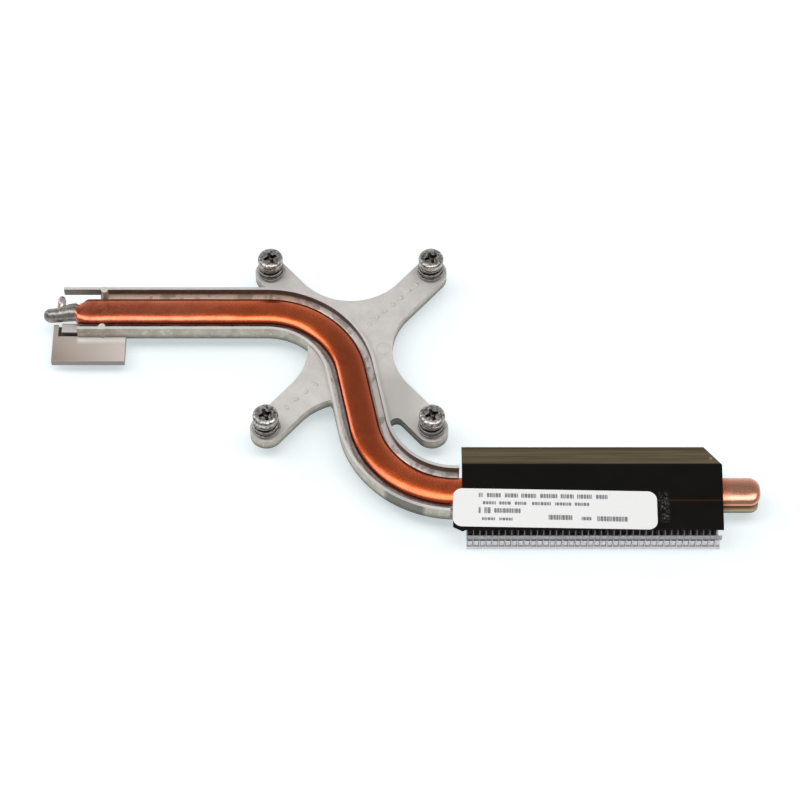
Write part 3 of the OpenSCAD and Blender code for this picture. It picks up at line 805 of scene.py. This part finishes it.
def boxes(name, spans, mat):
    """Plain boxes in one mesh, each from a low to a high corner in millimetres."""
    verts, faces = [], []
    for (x0, y0, z0), (x1, y1, z1) in spans:
        base = len(verts)
        for z in (z0, z1):
            verts += [Vector(p) * MM for p in ((x0, y0, z), (x1, y0, z), (x1, y1, z), (x0, y1, z))]
        faces += [tuple(base + k for k in quad) for quad in (
            (3, 2, 1, 0), (4, 5, 6, 7), (0, 1, 5, 4), (1, 2, 6, 5), (2, 3, 7, 6), (3, 0, 4, 7))]
    return new_object(name, verts, faces, mat, smooth=False)


def build_pads(mat):
    """Low plain oval casting pads along two of the arms."""
    sides = 16
    rows = (  # first pad, last pad, how many
        ((4.8, 7.4), (17.0, 19.6), 7),
        ((-8.6, -10.6), (-15.6, -17.4), 4),
    )
    for row, ((x0, y0), (x1, y1), count) in enumerate(rows):
        verts, faces = [], []
        heading = math.atan2(y1 - y0, x1 - x0)
        for k in range(count):
            share = k / (count - 1)
            x, y = x0 + (x1 - x0) * share, y0 + (y1 - y0) * share
            long, wide = (0.75, 0.5) if k % 3 else (0.5, 0.8)
            base = len(verts)
            for size, z in ((1.0, ARM_TOP - 0.02), (0.8, ARM_TOP + 0.06)):
                for j in range(sides):
                    a = 2 * math.pi * j / sides
                    u, v = size * long * math.cos(a), size * wide * math.sin(a)
                    verts.append(Vector((
                        x + u * math.cos(heading) - v * math.sin(heading),
                        y + u * math.sin(heading) + v * math.cos(heading), z,
                    )) * MM)
            faces.append(tuple(base + j for j in range(sides - 1, -1, -1)))
            faces.append(tuple(base + sides + j for j in range(sides)))
            for j in range(sides):
                n = (j + 1) % sides
                faces.append((base + j, base + n, base + sides + n, base + sides + j))
        pads = new_object(f"casting_pads_{row + 1}", verts, faces, mat)
        mark_sharp(pads, 50)
        settle(pads, "cast_carrier")


def build_lit_backing(mat):
    """Pale sheets that close the lower half of each opening between the fins, put there as painted
    light in place of the lit bottom flanges seen through the openings.
    """
    spans = []
    for i in range(FINS):
        x = FIN_START + FIN_PITCH * i + FIN_T
        spans.append(((x + 0.12, -53.4, 0.3), (x + 1.23, -53.3, 3.7)))
    settle(boxes("fin_lit_backing", spans, mat), "fin_sheet")


def build_groove_floor(mat):
    """A web under the groove between the side plate and the channel, coloured dark as painted
    shade.
    """
    spans = (((-75.0, 5.3, 3.0), (-73.5, 9.2, 3.3)), ((-73.5, 5.3, 3.0), (-69.3, 8.3, 3.3)))
    settle(boxes("groove_floor", spans, mat), "cast_carrier")


SPRING_TURNS, DEAD_TURNS = 3.5, 0.75  # all turns, and the closed part at each end
SPRING_LOW_D, SPRING_TAPER = 7.2, 1.2
SPRING_LENGTH, WIRE_D = 4.7, 0.6


def build_spring(i, mat):
    """A tapered coil with closed end turns."""
    x, y = SPOTS[i - 1]
    closed = 1.04 * WIRE_D
    dead = DEAD_TURNS * closed
    free = SPRING_LENGTH - WIRE_D - 2 * dead
    sides = 14
    count = int(SPRING_TURNS * 40)
    rings = []
    for s in range(count + 1):
        turn = SPRING_TURNS * s / count
        if turn < DEAD_TURNS:
            z = turn * closed
        elif turn > SPRING_TURNS - DEAD_TURNS:
            z = SPRING_LENGTH - WIRE_D - (SPRING_TURNS - turn) * closed
        else:
            z = dead + free * (turn - DEAD_TURNS) / (SPRING_TURNS - 2 * DEAD_TURNS)
        r = (SPRING_LOW_D - SPRING_TAPER * s / count - WIRE_D) / 2
        a = 2 * math.pi * turn
        thin = min(1.0, 0.45 + min(s, count - s) / 24)  # the ends are ground flat
        ring = []
        for k in range(sides):
            b = 2 * math.pi * k / sides
            u, v = WIRE_D / 2 * math.cos(b), WIRE_D / 2 * thin * math.sin(b)
            ring.append(Vector((
                x + (r + u) * math.cos(a), y + (r + u) * math.sin(a), ARM_TOP + WIRE_D / 2 + z + v,
            )) * MM)
        rings.append(ring)
    spring = tube(f"coil_{i}", rings, mat)
    mark_sharp(spring, 50)
    settle(spring, "spring_wire", f"spring_{i}")
    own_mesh(spring)


THREAD_R, THREAD_PITCH, THREAD_DEPTH = 1.25, 0.45, 0.23
# half length, half width and height of the recess's bars, and radius and height of its middle
RECESS_BARS = ((1.95, 0.5, 14.2), (1.85, 0.46, 13.95), (0.75, 0.34, 12.95))
RECESS_MIDDLE = ((1.1, 14.2), (0.98, 13.95), (0.55, 12.9))
RECESS_TIP = 12.6


def screw_profile():
    """Radius and height up the screw: thread, collar, clip groove, shoulder, domed head."""
    line = [(0.0, 0.5), (0.85, 0.5)]
    line += [(THREAD_R, z / 100) for z in range(90, 296, 5)]
    line += [(1.3, 3.0), (1.66, 3.0), (1.7, 3.04), (1.7, 3.46), (1.66, 3.5), (1.32, 3.5)]
    line += [(1.3, 3.54), (1.3, 4.16), (1.32, 4.2), (1.66, 4.2), (1.7, 4.24), (1.7, 12.0)]
    line += [(1.8, 12.1), (2.98, 12.1), (3.12, 12.14), (3.2, 12.28), (3.2, 12.5), (3.2, 13.2)]
    line += [(3.19, 13.32), (3.14, 13.46), (3.04, 13.6), (2.88, 13.73), (2.62, 13.84)]
    line += [(2.2, 13.92), (1.6, 13.97), (0.9, 13.99), (0.0, 14.0)]
    return line


def turned_screw():
    """The screw's profile turned about the origin, with a helical thread."""
    sides = 72
    verts, faces, rows = [], [], []
    for r, z in screw_profile():
        if r == 0:
            rows.append([len(verts)])
            verts.append(Vector((0, 0, z)) * MM)
            continue
        row = []
        for k in range(sides):
            a = 2 * math.pi * k / sides
            reach = r
            if r == THREAD_R:
                phase = (z / THREAD_PITCH - k / sides) % 1.0
                crest = min(1.0, 2.4 * min(phase, 1 - phase))
                reach = THREAD_R - THREAD_DEPTH + THREAD_DEPTH * crest
            row.append(len(verts))
            verts.append(Vector((reach * math.cos(a), reach * math.sin(a), z)) * MM)
        rows.append(row)
    for low, high in zip(rows, rows[1:]):
        for k in range(sides):
            n = (k + 1) % sides
            if len(low) == 1:
                faces.append((low[0], high[n], high[k]))
            elif len(high) == 1:
                faces.append((low[k], low[n], high[0]))
            else:
                faces.append((low[k], low[n], high[n], high[k]))
    return new_object("screw_shape", verts, faces, None)


def recess_cutter():
    """Two tapered bars across each other and a tapered middle, to cut the cross recess."""
    verts, faces = [], []

    def join(base, sides, levels):
        """Walls between the levels of a shape whose points start at base."""
        for level in range(0, levels * sides, sides):
            for k in range(sides):
                low, n = base + level, (k + 1) % sides
                faces.append((low + k, low + sides + k, low + sides + n, low + n))

    for turn in (20, 110):
        c, s = math.cos(math.radians(turn)), math.sin(math.radians(turn))
        base = len(verts)
        for long, wide, z in RECESS_BARS:
            for u, v in ((-long, -wide), (long, -wide), (long, wide), (-long, wide)):
                verts.append(Vector((u * c - v * s, u * s + v * c, z)) * MM)
        join(base, 4, 2)
        faces.append((base, base + 1, base + 2, base + 3))
        faces.append((base + 11, base + 10, base + 9, base + 8))
    sides, base = 16, len(verts)
    for r, z in RECESS_MIDDLE:
        for k in range(sides):
            a = 2 * math.pi * k / sides
            verts.append(Vector((r * math.cos(a), r * math.sin(a), z)) * MM)
    verts.append(Vector((0, 0, RECESS_TIP)) * MM)
    join(base, sides, 2)
    faces.append(tuple(base + k for k in range(sides)))
    low, tip = base + 2 * sides, base + 3 * sides
    for k in range(sides):
        faces.append((low + k, tip, low + (k + 1) % sides))
    return new_object("recess", verts, faces, None, smooth=False)


def build_screw_mesh():
    """One screw about the origin, with its cross recess."""
    screw = turned_screw()
    carve(screw, recess_cutter())
    mark_sharp(screw, 38)
    mesh = screw.data
    bpy.data.objects.remove(screw)
    return mesh


def build_screws(mat):
    """The four screws, each riding on its own body."""
    shape = build_screw_mesh()
    shape.materials.clear()
    shape.materials.append(mat)
    for i, (x, y) in enumerate(SPOTS, 1):
        mesh = shape.copy()
        for v in mesh.vertices:
            v.co += Vector((x, y, 0)) * MM
        screw = bpy.data.objects.new(f"cross_screw_{i}", mesh)
        bpy.context.collection.objects.link(screw)
        settle(screw, "screw_steel", f"screw_{i}", body=f"screw_{i}")


LABEL_MIDDLE, LABEL_TURN = (50.35, -47.12), math.radians(-1.1)
PRINT_LOW, PRINT_TOP = 8.498, 8.508
PRINT_ROWS = (  # low and high edge of a row on the label, and the ends of its bars
    (2.9, 4.1, ((-18.6, -17.6), (-16.6, -13.2), (-12.2, -9.0), (-8.2, -4.4),
                (-3.6, 0.6), (1.4, 4.6), (5.4, 9.0), (10.0, 13.0))),
    (0.9, 1.8, ((-17.6, -14.4), (-13.6, -10.6), (-9.8, -7.0),
                (-5.6, -1.0), (0.0, 4.0), (4.8, 8.4))),
    (-1.6, 0.1, ((-18.6, -18.0), (-17.2, -15.6))),
    (-1.4, -0.1, ((-14.8, -8.4),)),
    (-3.5, -2.7, ((-17.8, -14.6), (-13.6, -10.2))),
    (-3.1, -1.7, ((-1.6, 4.2),)),
    (-3.1, -2.1, ((6.4, 8.8),)),
    (-3.3, -1.9, ((10.2, 17.6),)),
)
DASHES, DASH_GAP = (0.34, 0.7, 0.5, 0.24, 0.6), 0.11


def print_dashes():
    """Each bar cut into short dashes of varied width."""
    dashes = []
    for y0, y1, bars in PRINT_ROWS:
        for x0, x1 in bars:
            left, k = x0, len(dashes)
            while left < x1 - 0.2:
                right = min(x1, left + DASHES[k * 3 % len(DASHES)])
                dashes.append((left, right, y0, y1))
                left, k = right + DASH_GAP, k + 1
    return dashes


def build_print(mat):
    """Rows of plain dashes where the label is printed."""
    turn_c, turn_s = math.cos(LABEL_TURN), math.sin(LABEL_TURN)
    middle = Vector((*LABEL_MIDDLE, 0))
    verts, faces = [], []
    for x0, x1, y0, y1 in print_dashes():
        r = 0.28 * min(y1 - y0, x1 - x0)
        corners = (
            (x1 - r, y1 - r, 0), (x0 + r, y1 - r, 90),
            (x0 + r, y0 + r, 180), (x1 - r, y0 + r, 270),
        )
        ring = []
        for cx, cy, start in corners:
            for a in (math.radians(start + part) for part in (0, 45, 90)):
                ring.append((cx + r * math.cos(a), cy + r * math.sin(a)))
        base = len(verts)
        for z in (PRINT_LOW, PRINT_TOP):
            for px, py in ring:
                place = Vector((px * turn_c - py * turn_s, px * turn_s + py * turn_c, z))
                verts.append((middle + place) * MM)
        n = len(ring)
        faces.append(tuple(base + n + k for k in range(n)))
        faces.append(tuple(base + n - 1 - k for k in range(n)))
        for k in range(n):
            faces.append((base + k, base + (k + 1) % n, base + n + (k + 1) % n, base + n + k))
    settle(new_object("label_bars", verts, faces, mat, smooth=False), "label_paper")


# ---------------------------------------------------------------- the scene

add_camera()
add_studio()

half, drop = 2, 0.0003  # metres
corners = [(-half, -half, -drop), (half, -half, -drop), (half, half, -drop), (-half, half, -drop)]
floor = new_object("floor", corners, [(0, 1, 2, 3)], floor_white(), smooth=False)

cast = cast_alloy()
copper_mat = copper()
solder_mat = solder()
wire_mat = wire()
clip_mat = steel("clip_steel", rgb(120, 118, 116), rgb(140, 137, 134), 0.36)
fin_mat = fin_sheet()

wear("carrier", cast)
wear("contact_block", milled_copper())
wear("top_film", black_film())
wear("label", paper())
for name in NODES:
    if name.startswith("fin_"):
        wear(name, fin_mat)
    if name.startswith("clip_"):
        wear(name, clip_mat)

build_pipe(copper_mat)
build_linings(trough())
build_solder(solder_mat)
build_blob(solder_mat)
build_groove_floor(groove_shade())
build_lit_backing(fin_mat)
build_pads(cast)
for i in range(1, 5):
    build_spring(i, wire_mat)
build_screws(screw_steel())
build_print(ink())

bpy.context.scene.view_settings.view_transform = "Standard"
